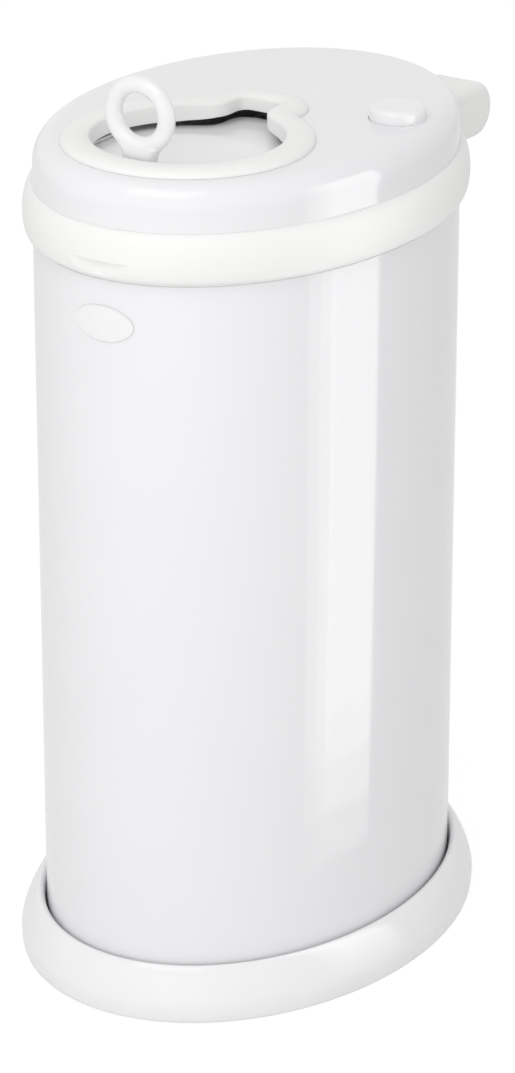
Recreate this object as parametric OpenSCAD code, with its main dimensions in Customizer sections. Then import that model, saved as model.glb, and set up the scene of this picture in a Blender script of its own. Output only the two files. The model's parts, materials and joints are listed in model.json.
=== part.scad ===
// Nappy bin: an oval steel pail on a moulded foot, with a hinged lid, a sliding odour door with a
// ring handle, and a sprung lock button. Millimetres, +Z up, the front faces -Y. The origin is on
// the ground under the middle of the oval body.

/* [Body] */
// Half length of the oval steel body, front to back
body_half_l = 162.5; // [150:0.5:172]
// Half width of the oval steel body
body_half_w = 120; // [110:0.5:130]
// Height of the steel body's top edge above the ground
body_top = 491.7; // [420:0.1:560]
// Thickness of the body's steel
shell_t = 1; // [0.8:0.1:1.4]
// Height of the floor pan's upturned edge
pan_edge_h = 16; // [10:1:30]
// Length of the blank badge
badge_l = 42; // [30:1:50]
// Height of the blank badge
badge_h = 19; // [14:1:24]
// Distance from the body's top edge down to the badge's middle
badge_drop = 28.7; // [22:0.1:60]

/* [Foot] */
// Height of the foot moulding's crest
foot_h = 36; // [30:1:44]
// How far the foot moulding stands out from the body
foot_spread = 17; // [13:0.5:20]
// Height at which the foot moulding is widest
foot_belly_h = 11; // [8:0.5:14]
// Thickness of the rubber ring under the foot
rubber_t = 3.5; // [3:0.5:6]
// Thickness of the shelf that the body stands on
shelf_t = 3; // [2:0.5:5]
// Number of screws that hold the foot to the body
foot_screws = 6; // [4:1:10]

/* [Rim and bag ring] */
// Thickness of the rim's flat land above the body's top edge
rim_land_t = 1.1; // [1:0.1:2]
// Depth of the rim's skirt inside the body
rim_skirt_h = 20; // [14:1:30]
// Depth of the bag ring's skirt
bag_skirt_h = 36; // [25:1:60]

/* [Lid] */
// Gap between the rim and the lid band's lower edge
lid_gap = 1; // [0.8:0.1:2]
// Height of the lid band
band_h = 30.8; // [28:0.2:36]
// Bulge of the lid band beyond the body
band_bulge = 6.3; // [5:0.1:7]
// Wall of the lid band
band_wall = 2.7; // [2:0.1:3]
// Height of the finger recess's edge above the band's lower edge
recess_up = 11.5; // [10:0.1:14]
// Depth of the finger recess
recess_d = 2.4; // [1.5:0.1:3]
// Height of the finger recess
recess_h = 4.4; // [2:0.1:5]
// Height of the steel lid cap
cap_h = 28.9; // [26:0.1:36]
// Thickness of the lid cap's steel
cap_t = 1; // [0.8:0.1:1.2]
// How far the cap's shoulder comes in
shoulder_in = 13.9; // [10:0.1:16]
// How far the cap's shoulder comes down
shoulder_down = 17.2; // [12:0.1:20]
// Number of screws that hold the lid together
lid_screws_n = 8; // [8:4:8]
// Thickness of the inner cover's plate
cover_t = 2.5; // [2:0.1:3]

/* [Opening] */
// Radius of the round opening
open_r = 60; // [54:0.5:62]
// Distance of the opening's middle in front of the body's middle
open_y = 69; // [62:0.5:74]
// Half width of the notch behind the opening
notch_half = 15; // [13.5:0.5:20]
// Distance of the notch's far end behind the body's middle
notch_end = 16; // [12:0.5:18]
// Radius of the notch's corners
notch_corner = 7; // [4:0.5:10]
// Width of the collar's rim
collar_w = 18.5; // [15:0.5:21]
// Height of the collar's crest above the cap
collar_crest = 5.5; // [4:0.1:8]
// Wall of the collar's neck
neck_t = 3; // [2:0.5:3.5]
// Height of the shadow gap between the collar's neck and the door
door_shadow = 6.4; // [5:0.1:7]

/* [Door] */
// Thickness of the sliding door
door_t = 5; // [4:0.1:6]
// Travel of the sliding door
door_travel = 128; // [100:1:130]
// Depth of the dish in the door
dish_depth = 3.5; // [2:0.1:3.8]
// Radius of the ring handle to the middle of its bar
ring_r = 19.8; // [17:0.1:21]
// Half thickness of the ring's bar, across the finger hole
ring_bar_r = 4.8; // [4:0.1:5.6]
// Half depth of the ring's bar, along the finger hole
ring_bar_d = 8; // [5:0.1:8.5]
// Height of the ring's middle above the cap
ring_up = 29; // [28:0.1:36]
// Width of the ring's neck
ring_neck_w = 24; // [16:0.5:24]
// Depth of the ring's neck
ring_neck_d = 12; // [9:0.5:13]
// Gap between the opening's front edge and the middle of the ring's bar
ring_inset = 8.8; // [8:0.1:10]

/* [Lock] */
// Gap between the door's rail and the lock's guide
lock_gap = 6.3; // [1:0.1:7]
// Distance of the button behind the middle
button_y = 38; // [34:0.5:48]
// Radius of the button
button_r = 17.8; // [16:0.1:20.5]
// Height of the button above the cap
button_h = 8.4; // [7:0.1:12]
// Travel of the button
button_travel = 3; // [2:0.1:3]

/* [Hinge] */
// Distance of the hinge axis behind the body
hinge_reach = 24.2; // [23.9:0.1:27]
// Height of the hinge axis above the lid band's lower edge
hinge_up = 21.1; // [20:0.1:23]
// Outer radius of the hinge barrel
barrel_r = 18.3; // [17:0.1:18.9]
// Half length of the whole hinge barrel
barrel_half = 58.4; // [50:0.2:60]
// Half width of the body's knuckle in the middle of the barrel
knuckle_half = 23; // [18:0.5:26]
// Radius of the hinge pin
pin_r = 3; // [2.5:0.1:4]
// Height of the hinge bracket's plate
bracket_h = 66; // [58:1:90]

/* [Hidden] */

steel = "whitesmoke";
plastic = "white";
rubber = "dimgray";
zinc = "silver";

$fn = 64;
sectors = 72;          // steps round the oval
seat = 0.2;            // gap between parts that are screwed or laid together
run = 0.05;            // radial running clearance of pins and stems
cut = 1;               // how far a cutting shape runs past what it cuts
screw_r = 1.75;        // shank of the larger screws
small_screw_r = 1.5;   // shank of the smaller screws
head_r = 3.4;
head_h = 2.2;
spare = 3;             // how far a blind screw hole runs past its screw

// Heights, from the ground up
shelf_z = rubber_t + seat;
shelf_top = shelf_z + shelf_t;
body_z = shelf_top + seat;
rim_top = body_top + seat + rim_land_t;
band_z = rim_top + lid_gap;
band_top = band_z + band_h;
cap_z = band_top + 0.3;
cap_top = cap_z + cap_h;
cap_under = cap_top - cap_t;
cover_z = band_z + 3;
cover_top = cover_z + cover_t;

// The keyhole opening and what lies under it
neck_z = cap_top - 5.3;
door_top = neck_z - door_shadow;
door_z = door_top - door_t;
seal_t = 2.5;
seal_z = door_z - seat - seal_t;
chute_top = seal_z - 0.1;
chute_r = open_r - 2.5;
chute_wall = 2.5;
sleeve_lip = 3;
sleeve_lip_t = 1.2;
notch_in = notch_half - notch_corner;  // where the notch's corners have their middles
notch_turn = notch_end - notch_corner;
door_edge = 5;                       // how far the door reaches past the opening
panel_half_w = open_r + 1;
runner_w = 5.5;
runner_out = panel_half_w + seat + runner_w;
runner_front = -open_y - 32;
runner_back = -open_y + 45;
rail_lip = 4.2;                      // how far the rail's lips reach over the runner
rail_wall = 2.5;
rail_x = runner_out + 0.3;
rail_lip_t = 1.6;
rail_top = door_top + 0.3 + rail_lip_t;
rail_back = runner_back + door_travel + 1;
handle_y = -open_y - open_r + ring_inset;
ring_z = cap_top + ring_up;

// The lock
stem_r = 5.5;
stem_in = 12;                        // how deep the button's stem reaches into its guide
guide_r = 9;
button_x = rail_x + rail_wall + lock_gap + guide_r;
button_hole_r = button_r + 0.4;
arm_t = 2.5;
arm_z = rail_top + 0.4 + button_travel;
arm_w = 6;
catch_x = open_r - 10;
catch_y = runner_back - 4.5;
catch_l = 5;
catch_peg_r = 1.8;
catch_top = arm_z - 0.8;
spring_r = 7.2;
spring_wire_r = 0.6;
guide_top = arm_z - 11.6;

// The hinge
hinge_y = body_half_l + hinge_reach;
hinge_z = band_z + hinge_up;
plug_r = 5;
plug_t = 1.8;
bracket_z = body_top + 1.5 - bracket_h;
bracket_screw_z = [bracket_z + 11, bracket_z + 31];
bracket_screw_a = [83, 97];          // angles round the oval, 90 is the middle of the back
housing_screw_z = band_z + 12;
housing_screw_a = [70, 76, 104, 110];
housing_screw_l = 10;
housing_seat = band_bulge - band_wall - 1.05;  // where the housing screws' heads end

// A point of the oval body's outline, moved out by a distance along its normal
function oval_at(out, angle) =
    let (n = [cos(angle) / body_half_w, sin(angle) / body_half_l])
    [body_half_w * cos(angle), body_half_l * sin(angle)] + out * n / norm(n);

function oval_outline(out) = [for (i = [0 : sectors - 1]) oval_at(out, 360 * i / sectors)];

// Levels of a loft along a quarter of a superellipse, from the angle a0 to a1
function quarter(from, to, power, a0, a1, steps) =
    [for (i = [0 : steps])
        let (a = a0 + (a1 - a0) * i / steps)
        [from.x + (to.x - from.x) * pow(sin(a), 2 / power),
         to.y + (from.y - to.y) * pow(cos(a), 2 / power)]];

// Faces of a solid through a stack of outlines, from the first to the last, each of n points
function loft_faces(n, last) = concat(
    [[for (i = [0 : n - 1]) i]],
    [for (k = [0 : last - 1]) for (i = [0 : n - 1])
        let (j = (i + 1) % n, a = k * n, b = a + n)
        each [[a + i, b + i, b + j], [a + i, b + j, a + j]]],
    [[for (i = [n - 1 : -1 : 0]) last * n + i]]);

// A solid through a stack of ovals, each given as [distance out from the body, height]
module oval_loft(levels) {
    points = [for (level = levels) for (p = oval_outline(level[0])) [p.x, p.y, level[1]]];
    polyhedron(points = points, faces = loft_faces(sectors, len(levels) - 1), convexity = 6);
}

// A straight oval plate or, with an inner distance, a straight oval ring
module oval_plate(out, low, high) {
    translate([0, 0, low]) linear_extrude(high - low) polygon(oval_outline(out));
}

module oval_ring(out, in, low, high) {
    translate([0, 0, low]) linear_extrude(high - low) difference() {
        polygon(oval_outline(out));
        polygon(oval_outline(in));
    }
}

// The keyhole outline of the opening, grown by a distance: a circle with a soft-cornered notch
module keyhole(grow) {
    translate([0, -open_y]) circle(open_r + grow);
    for (s = [-1, 1]) translate([s * notch_in, notch_turn]) circle(notch_corner + grow);
    translate([-notch_half - grow, -open_y]) square([2 * (notch_half + grow), open_y + notch_turn]);
    translate([-notch_in, 0]) square([2 * notch_in, notch_end + grow]);
}

// A pan-head screw that points up from under its head
module screw(shank_r, length) {
    rotate_extrude() polygon([[0, 0], [head_r - 0.8, 0], [head_r, 0.9], [head_r, head_h],
                              [shank_r, head_h], [shank_r, head_h + length - 1],
                              [shank_r - 0.8, head_h + length], [0, head_h + length]]);
}

// Places along the oval for screws
module round_oval(count, out, first) {
    for (i = [0 : count - 1]) {
        p = oval_at(out, first + 360 * i / count);
        translate([p.x, p.y, 0]) children();
    }
}

// A place on a wall of the oval, with +Z turned to point out through the wall
module on_wall(out, angle, height) {
    p = oval_at(out, angle);
    translate([p.x, p.y, height])
        rotate([0, 90, atan2(sin(angle) / body_half_l, cos(angle) / body_half_w)]) children();
}

// ---- the foot and the body ----

module foot_rubber_ring() {
    color(rubber) oval_ring(3.5, -7, 0, rubber_t);
}

foot_flank = quarter([5, foot_h], [foot_spread, foot_belly_h], 1.35, 90, 0, 9);

module foot_moulding() {
    color(plastic) difference() {
        oval_loft(concat([[foot_spread - 1.2, 0.8], [foot_spread - 0.5, 2.6], [foot_spread - 0.1, 6]],
                         foot_flank));
        // the socket that the body stands in, with a rounded top edge
        oval_loft([[0.3, shelf_top], [0.3, foot_h - 6], [1, foot_h - 4], [1.3, foot_h - 2],
                   [2.4, foot_h - 0.7], [4.2, foot_h + 0.01]]);
        oval_plate(-16, -cut, shelf_top + cut);
        oval_plate(4, -cut, shelf_z);
        // the hollow under the flank
        difference() {
            oval_loft([[foot_spread - 4, -cut], [foot_spread - 3.4, foot_belly_h - 1],
                       [foot_spread - 7.5, foot_h - 13], [foot_spread - 11, foot_h - 8]]);
            oval_plate(4, -2 * cut, foot_h);
        }
        round_oval(foot_screws, -11, 30) cylinder(r = screw_r + 0.3, h = 3 * shelf_top, center = true);
    }
}

module foot_screws_set() {
    color(zinc) round_oval(foot_screws, -11, 30)
        translate([0, 0, shelf_z - head_h]) screw(screw_r, shelf_t + 7);
}

module body_shell() {
    color(steel) difference() {
        oval_ring(0, -shell_t, body_z, body_top);
        for (a = bracket_screw_a, z = bracket_screw_z)
            on_wall(-shell_t - cut, a, z) cylinder(r = screw_r + 0.3, h = shell_t + 2 * cut);
    }
}

module body_floor_pan() {
    pan_t = 1.2;
    color(steel) difference() {
        union() {
            oval_plate(-shell_t - seat, body_z, body_z + pan_t);
            oval_ring(-shell_t - seat, -shell_t - seat - pan_t, body_z, body_z + pan_edge_h);
        }
        round_oval(foot_screws, -11, 30)
            translate([0, 0, body_z - cut]) cylinder(r = screw_r + run, h = pan_t + 2 * cut);
    }
}

module blank_badge() {
    color(zinc) intersection() {
        oval_ring(0.9, 0.2, body_top - badge_drop - badge_h, body_top - badge_drop + badge_h);
        translate([0, -body_half_l, body_top - badge_drop]) rotate([90, 0, 0])
            linear_extrude(30, center = true) scale([badge_l / badge_h, 1]) circle(badge_h / 2);
    }
}

rim_in = 6;            // where the rim's land ends
ledge_in = 12;         // where the rim's ledge ends
ledge_top = body_top - 2;

module top_rim() {
    inner = -shell_t - seat;
    color(plastic) {
        oval_ring(-0.1, -rim_in, body_top + seat, rim_top);
        oval_ring(inner, -rim_in, ledge_top - 3, body_top + seat);
        oval_ring(inner, inner - 2, body_top - rim_skirt_h, ledge_top - 3);
        oval_ring(-rim_in, -ledge_in, ledge_top - 3, ledge_top);
    }
}

module bag_ring() {
    color(plastic) {
        oval_ring(-rim_in - 0.4, -ledge_in - 2.5, ledge_top + seat, ledge_top + 2.4);
        oval_ring(-ledge_in - 0.4, -ledge_in - 2.5, ledge_top - bag_skirt_h, ledge_top + seat);
    }
}

// ---- the hinge ----

module hinge_bracket() {
    back = body_half_l;
    color(plastic) difference() {
        union() {
            translate([-knuckle_half, hinge_y, hinge_z]) rotate([0, 90, 0])
                cylinder(r = barrel_r - 0.5, h = 2 * knuckle_half);
            translate([-knuckle_half, 0, 0]) rotate([90, 0, 90]) linear_extrude(2 * knuckle_half)
                polygon([[back - 8, bracket_z], [back - 8, body_top + 1.5], [back + 8, body_top + 1.5],
                         [back + 10, hinge_z - 10], [hinge_y, hinge_z], [hinge_y + 13, hinge_z - 10],
                         [hinge_y + 9, body_top - 6], [back + 13, bracket_z + 10],
                         [back + 6, bracket_z]]);
        }
        oval_plate(seat, bracket_z - cut, body_top + 2);
        translate([-barrel_half, hinge_y, hinge_z]) rotate([0, 90, 0])
            cylinder(r = pin_r + run, h = 2 * barrel_half);
        for (a = bracket_screw_a, z = bracket_screw_z)
            on_wall(-cut, a, z) cylinder(r = screw_r + run, h = 11);
    }
}

module bracket_screws() {
    color(zinc) for (a = bracket_screw_a, z = bracket_screw_z)
        on_wall(-shell_t - 0.3 - head_h, a, z) screw(screw_r, 10);
}

module hinge_pin() {
    half = barrel_half - plug_t - 0.3;
    color(zinc) translate([-half, hinge_y, hinge_z]) rotate([0, 90, 0]) cylinder(r = pin_r, h = 2 * half);
}

module hinge_pin_plugs() {
    color(plastic) for (s = [-1, 1])
        translate([s * barrel_half, hinge_y, hinge_z]) rotate([0, -90 * s, 0])
            cylinder(r = plug_r, h = plug_t);
}

// The housing's ends, as [distance from the middle, how far the outline has come in]
housing_in = knuckle_half + 0.5;
housing_soft = 4;
housing_ends = concat([[housing_in, 0]],
    [for (a = [0 : 15 : 90]) [barrel_half - housing_soft + housing_soft * sin(a),
                              housing_soft * (1 - cos(a))]]);

// The web from the band to the barrel, as wide as the barrel and as soft at its end
module housing_web() {
    web_front = body_half_l - 32;
    points = [for (level = housing_ends) let (in = level[1])
        for (p = [[web_front, band_z + 5 + in], [hinge_y, hinge_z - barrel_r + in],
                  [hinge_y, hinge_z + barrel_r - in], [web_front, hinge_z + barrel_r - in]])
            [level[0], p.x, p.y]];
    polyhedron(points = points, faces = loft_faces(4, len(housing_ends) - 1), convexity = 4);
}

module lid_hinge_housing() {
    color(plastic) difference() {
        for (s = [-1, 1]) {
            translate([0, hinge_y, hinge_z]) rotate([0, 90 * s, 0]) rotate_extrude()
                polygon(concat([[0, housing_in]],
                    [for (level = housing_ends) [barrel_r - level[1], level[0]]], [[0, barrel_half]]));
            mirror([s < 0 ? 1 : 0, 0, 0]) housing_web();
        }
        oval_loft([for (level = band_outline) [level[0] + 0.25, level[1]]]);
        oval_loft([[cap_out + 0.3, band_top - cut], [cap_out + 0.3, cap_z + cap_h]]);
        translate([-2 * barrel_half, hinge_y, hinge_z]) rotate([0, 90, 0])
            cylinder(r = pin_r + run, h = 4 * barrel_half);
        for (s = [-1, 1])
            translate([s * (barrel_half + cut), hinge_y, hinge_z]) rotate([0, -90 * s, 0])
                cylinder(r = plug_r + run, h = plug_t + cut + 0.1);
        for (a = housing_screw_a)
            on_wall(0, a, housing_screw_z)
                cylinder(r = small_screw_r + run, h = housing_seat + housing_screw_l + cut);
    }
}

module housing_screws() {
    color(zinc) for (a = housing_screw_a)
        on_wall(housing_seat - head_h, a, housing_screw_z) screw(small_screw_r, housing_screw_l);
}

// ---- the lid ----

cap_out = -0.45;       // the cap's wall, from the body's outline
bulge_z = band_z + band_h * 0.41;
band_low = band_bulge - 3.5;
band_outline = concat(quarter([band_low, band_z], [band_bulge, bulge_z], 2, 0, 90, 6),
    [for (i = [1 : 7]) let (a = 90 * i / 7)
        [cap_out + (band_bulge - cap_out) * cos(a), bulge_z + (band_top - bulge_z) * sin(a)]]);
flange_t = 2.5;
lid_screw_l = cover_t + 11;
boss_out = -11;
boss_r = 3.6;

module lid_band() {
    front = -body_half_l - band_bulge;
    recess_z = band_z + recess_up;
    recess_half = 27;
    color(plastic) difference() {
        union() {
            difference() {
                oval_loft(band_outline);
                oval_loft([[band_low - 3.4, band_z - cut], [band_low - 3.2, band_z + 1.2],
                           [band_low - 2.2, band_z + 3], [band_bulge - band_wall - 1, band_z + 7],
                           [band_bulge - band_wall, bulge_z], [band_bulge - band_wall - 1.3, bulge_z + 9],
                           [cap_out + 1.2, band_top - flange_t - 0.3], [cap_out, band_top - flange_t]]);
                oval_plate(-15, band_z, band_top + cut);
            }
            // the wall is thicker behind the finger recess
            intersection() {
                oval_loft(band_outline);
                translate([-recess_half, front - 1, recess_z - 7]) cube([2 * recess_half, 6, 11]);
            }
            round_oval(lid_screws_n, boss_out, 0) translate([0, 0, cover_top + seat])
                cylinder(r = boss_r, h = band_top - flange_t / 2 - cover_top - seat);
        }
        round_oval(lid_screws_n, boss_out, 0) translate([0, 0, cover_top - cut])
            cylinder(r = small_screw_r + run, h = lid_screw_l - cover_t + spare + cut);
        for (a = housing_screw_a)
            on_wall(0, a, housing_screw_z) cylinder(r = small_screw_r + 0.3, h = band_bulge + cut);
        // the finger recess at the front, a flat cut that the band's curve makes a crescent
        translate([-recess_half, 0, 0]) rotate([90, 0, 90]) linear_extrude(2 * recess_half)
            polygon([[front - cut, recess_z], [front + recess_d, recess_z],
                     [front - 0.01, recess_z - recess_h], [front - cut, recess_z - recess_h]]);
    }
}

shoulder = quarter([cap_out - shoulder_in, cap_top], [cap_out, cap_top - shoulder_down], 2, 90, 0, 6);

module lid_cap() {
    color(steel) difference() {
        union() {
            difference() {
                oval_loft(concat([[cap_out, cap_z]], shoulder));
                oval_loft(concat([[cap_out - cap_t, cap_z - cut]],
                    [for (level = shoulder)
                        [level[0] - cap_t, level[1] - (level[1] > cap_top - 1 ? cap_t : cap_t / 2)]]));
            }
            oval_ring(cap_out - cap_t / 2, cap_out - 6, cap_z, cap_z + cap_t);
        }
        translate([0, 0, cap_top - 3]) linear_extrude(6) keyhole(neck_t + 0.5);
        translate([button_x, button_y, cap_top - shoulder_down])
            cylinder(r = button_hole_r, h = shoulder_down + cut);
    }
}

// The collar's section as [distance out from the opening, height], with its crest near the opening
crest_low = cap_top + 0.1;
crest_top = cap_top + collar_crest;
crest_out = collar_w * 0.42;
crest_drop = 2.2;
crest_section = concat([[collar_w, crest_low]],
    [for (a = [8 : 12 : 80]) [crest_out + (collar_w - crest_out) * cos(a),
                              crest_low + (crest_top - crest_low) * sin(a)]],
    [[crest_out, crest_top]],
    [for (a = [75 : -15 : 30]) [(crest_out + 1) * (1 - cos(a)) - 1,
                                crest_top - crest_drop + crest_drop * sin(a)]]);

// The notch's outline, grown by a distance, from the middle of the opening round its far end
function notch_outline(out) = concat(
    [[-notch_half - out, -open_y], [notch_half + out, -open_y]],
    [for (a = [0 : 15 : 90]) [notch_in, notch_turn] + (notch_corner + out) * [cos(a), sin(a)]],
    [for (a = [90 : 15 : 180]) [-notch_in, notch_turn] + (notch_corner + out) * [cos(a), sin(a)]]);

// The collar round the notch, before the opening is cut
module notch_crest() {
    points = [for (level = crest_section) for (p = notch_outline(level[0])) [p.x, p.y, level[1]]];
    polyhedron(points = points, faces = loft_faces(len(notch_outline(0)), len(crest_section) - 1),
               convexity = 4);
}

module opening_collar() {
    color(plastic) difference() {
        union() {
            translate([0, -open_y, 0]) rotate_extrude()
                polygon(concat([[0, crest_low]], [for (level = crest_section) [open_r + level[0], level[1]]],
                               [[0, crest_top - crest_drop]]));
            notch_crest();
            translate([0, 0, neck_z]) linear_extrude(cap_top + 1 - neck_z) keyhole(neck_t);
            for (a = [0 : 60 : 300])
                translate([0, -open_y, 0]) rotate([0, 0, a + 30 - 60])
                    translate([open_r + 1, -4, cap_under - 0.3 - 1.5]) cube([neck_t + 1.5, 8, 1.5]);
        }
        translate([0, 0, neck_z - cut]) linear_extrude(20) keyhole(0);
    }
}

module lid_inner_cover() {
    color(plastic) difference() {
        union() {
            oval_plate(-1.3, cover_z, cover_top);
            oval_ring(-1.3, -3.3, cover_z, cover_top + 5);
        }
        translate([0, -open_y, cover_z - cut])
            cylinder(r = chute_r + chute_wall + seat, h = cover_t + 2 * cut);
        round_oval(lid_screws_n, boss_out, 0) translate([0, 0, cover_z - cut])
            cylinder(r = small_screw_r + 0.3, h = cover_t + 2 * cut);
        for (s = [-1, 1], y = pad_y)
            translate([s * pad_x, y, cover_z - cut]) cylinder(r = small_screw_r + 0.3, h = cover_t + 2 * cut);
    }
}

// The sleeve that a nappy falls through, pushed into the inner cover from below
module chute_sleeve() {
    low = cover_z - seat - sleeve_lip_t;
    color(plastic) translate([0, -open_y, low]) difference() {
        union() {
            cylinder(r = chute_r + chute_wall + sleeve_lip, h = sleeve_lip_t);
            cylinder(r = chute_r + chute_wall, h = chute_top - low);
        }
        translate([0, 0, -cut]) cylinder(r = chute_r, h = chute_top - low + 2 * cut);
    }
}

module lid_gasket() {
    color(rubber) oval_ring(-1.8, -5.8, rim_top + seat, cover_z - 0.1);
}

module lid_screws_set() {
    color(zinc) round_oval(lid_screws_n, boss_out, 0)
        translate([0, 0, cover_z - head_h - 0.05]) screw(small_screw_r, lid_screw_l);
}

// ---- the chute, the rails and the door ----

module chute_seal() {
    color(rubber) translate([0, -open_y, seal_z]) difference() {
        cylinder(r = chute_r + 3.6, h = seal_t);
        translate([0, 0, -cut]) cylinder(r = chute_r + 0.2, h = seal_t + 2 * cut);
    }
}

pad_l = 12;
pad_w = 8;
pad_x = rail_x + rail_wall + pad_w / 2;
pad_y = [runner_front + pad_l, (runner_front + rail_back) / 2 - pad_l, rail_back - pad_l];

module door_rail(side) {
    lip_x = rail_x - rail_lip;
    mirror([side < 0 ? 1 : 0, 0, 0]) difference() {
        union() {
            translate([0, rail_back, 0]) rotate([90, 0, 0]) linear_extrude(rail_back - runner_front + 1)
                polygon([[rail_x, cover_top + seat], [rail_x + rail_wall, cover_top + seat],
                         [rail_x + rail_wall, rail_top], [lip_x, rail_top],
                         [lip_x, door_top + 0.3], [rail_x, door_top + 0.3],
                         [rail_x, door_z - 0.3], [lip_x, door_z - 0.3],
                         [lip_x, door_z - 0.3 - rail_lip_t], [rail_x, door_z - 0.3 - rail_lip_t]]);
            for (y = pad_y)
                translate([rail_x + 0.5, y - pad_l / 2, cover_top + seat])
                    cube([rail_wall + pad_w - 0.5, pad_l, 6]);
        }
        for (y = pad_y)
            translate([pad_x, y, cover_top - cut]) cylinder(r = small_screw_r + run, h = 6);
    }
}

module door_rail_left() { color(plastic) door_rail(-1); }

module door_rail_right() { color(plastic) door_rail(1); }

module rail_screws() {
    color(zinc) for (s = [-1, 1], y = pad_y)
        translate([s * pad_x, y, cover_z - head_h - 0.05]) screw(small_screw_r, cover_t + 4);
}

module door_panel() {
    dish_r = open_r - 14;
    dish_sphere = (dish_r * dish_r + dish_depth * dish_depth) / (2 * dish_depth);
    color(plastic) difference() {
        translate([0, 0, door_z]) linear_extrude(door_t) intersection() {
            union() {
                keyhole(door_edge + 1);
                translate([-open_r - 20, runner_front]) square([2 * open_r + 40, runner_back - runner_front]);
            }
            translate([-panel_half_w, -open_y - 2 * open_r]) square([2 * panel_half_w, 4 * open_r]);
        }
        translate([catch_x, catch_y, door_z - cut]) cylinder(r = catch_peg_r + run, h = door_t + 2 * cut);
        translate([0, -open_y, door_top - dish_depth + dish_sphere]) sphere(r = dish_sphere, $fn = 160);
        for (x = handle_screw_x) translate([x, handle_y, door_z - cut]) {
            cylinder(r = small_screw_r + 0.3, h = door_t + 2 * cut);
            cylinder(r = head_r + 0.4, h = head_h + 0.3 + cut);
        }
    }
}

module door_runner(side) {
    low = side > 0 ? panel_half_w + seat : -runner_out;
    translate([low, runner_front + 1, door_z]) cube([runner_w, runner_back - runner_front - 2, door_t]);
}

module door_runner_left() { color(zinc) door_runner(-1); }

module door_runner_right() { color(zinc) door_runner(1); }

handle_screw_x = [-5.5, 5.5];
handle_screw_l = door_t + 6;
handle_foot_z = door_top + 0.1;

module ring_handle() {
    neck_top = ring_z - ring_r + 1.2;
    neck_end_x = (ring_neck_w - ring_neck_d) / 2;
    color(plastic) difference() {
        union() {
            translate([0, handle_y, ring_z]) rotate([90, 0, 0]) rotate_extrude($fn = 96)
                polygon([for (a = [0 : 15 : 345])
                    [ring_r + ring_bar_r * cos(a), ring_bar_d * sin(a)]]);
            translate([0, handle_y, handle_foot_z]) linear_extrude(neck_top - handle_foot_z) {
                for (s = [-1, 1]) translate([s * neck_end_x, 0]) circle(ring_neck_d / 2);
                square([2 * neck_end_x, ring_neck_d], center = true);
            }
        }
        for (x = handle_screw_x) translate([x, handle_y, handle_foot_z - cut])
            cylinder(r = small_screw_r + run, h = handle_screw_l - door_t + head_h + spare + 2 * cut);
    }
}

module handle_screws() {
    color(zinc) for (x = handle_screw_x)
        translate([x, handle_y, door_z + 0.2]) screw(small_screw_r, handle_screw_l);
}

// ---- the lock ----

// The catch on the door that the lock arm stops
module lock_catch() {
    color(plastic) translate([catch_x, catch_y, 0]) {
        translate([-arm_w / 2, -catch_l / 2, door_top + 0.05]) cube([arm_w, catch_l, catch_top - door_top - 0.05]);
        translate([0, 0, door_z]) cylinder(r = catch_peg_r, h = door_t + 1);
    }
}

module lock_button() {
    top = cap_top + button_h;
    soft = 4;
    wall = 2;
    flange_z = arm_z + arm_t + 0.6;
    shoulder_z = arm_z + arm_t + 0.05;
    // a flange under the flat of the cap keeps the button in its hole
    color(plastic) intersection() {
        oval_plate(cap_out - shoulder_in - 0.3, flange_z, cap_under - 0.4);
        translate([button_x, button_y, flange_z]) difference() {
            cylinder(r = button_r + 1.6, h = cap_under - 0.4 - flange_z);
            translate([0, 0, -cut]) cylinder(r = button_r - wall, h = 3 * cut);
        }
    }
    color(plastic) translate([button_x, button_y, 0]) {
        difference() {
            rotate_extrude() polygon(concat(
                [[0, flange_z], [button_r, flange_z]],
                [for (a = [0 : 15 : 90]) [button_r - soft + soft * cos(a), top - soft + soft * sin(a)]],
                [[0, top + 0.6]]));
            difference() {
                translate([0, 0, flange_z - cut]) cylinder(r = button_r - wall, h = top - wall - flange_z + cut);
                translate([0, 0, flange_z - 2 * cut]) cylinder(r = stem_r + 2, h = button_h + 20);
            }
        }
        translate([0, 0, shoulder_z]) cylinder(r = stem_r + 2, h = 4);
        translate([0, 0, guide_top - stem_in])
            cylinder(r = stem_r, h = shoulder_z - guide_top + stem_in + 2);
    }
}

module lock_arm() {
    color(plastic) difference() {
        union() {
            translate([button_x, button_y, arm_z]) cylinder(r = guide_r, h = arm_t);
            translate([catch_x - arm_w / 2, button_y - arm_w / 2, arm_z])
                cube([button_x - catch_x + arm_w / 2, arm_w, arm_t]);
            translate([catch_x - arm_w / 2, catch_y + catch_l / 2 + 3, arm_z])
                cube([arm_w, button_y - catch_y - catch_l / 2 - 3 + arm_w / 2, arm_t]);
        }
        translate([button_x, button_y, arm_z - cut]) cylinder(r = stem_r + run, h = arm_t + 2 * cut);
    }
}

module lock_spring() {
    turns = 4;
    steps = 14;
    low = guide_top + spring_wire_r + 0.1;
    high = arm_z - spring_wire_r - 0.1;
    sides = 6;
    rings = turns * steps;
    points = [for (i = [0 : rings]) let (a = 360 * i / steps, z = low + (high - low) * i / rings)
        for (k = [0 : sides - 1]) let (r = spring_r + spring_wire_r * cos(60 * k))
            [r * cos(a), r * sin(a), z + spring_wire_r * sin(60 * k)]];
    walls = [for (i = [0 : rings - 1]) for (k = [0 : sides - 1])
        let (a = i * sides, b = a + sides, n = (k + 1) % sides)
        each [[a + k, a + n, b + n], [a + k, b + n, b + k]]];
    ends = [[for (k = [sides - 1 : -1 : 0]) k], [for (k = [0 : sides - 1]) rings * sides + k]];
    color(zinc) translate([button_x, button_y, 0]) polyhedron(points = points, faces = concat(walls, ends));
}

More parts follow.
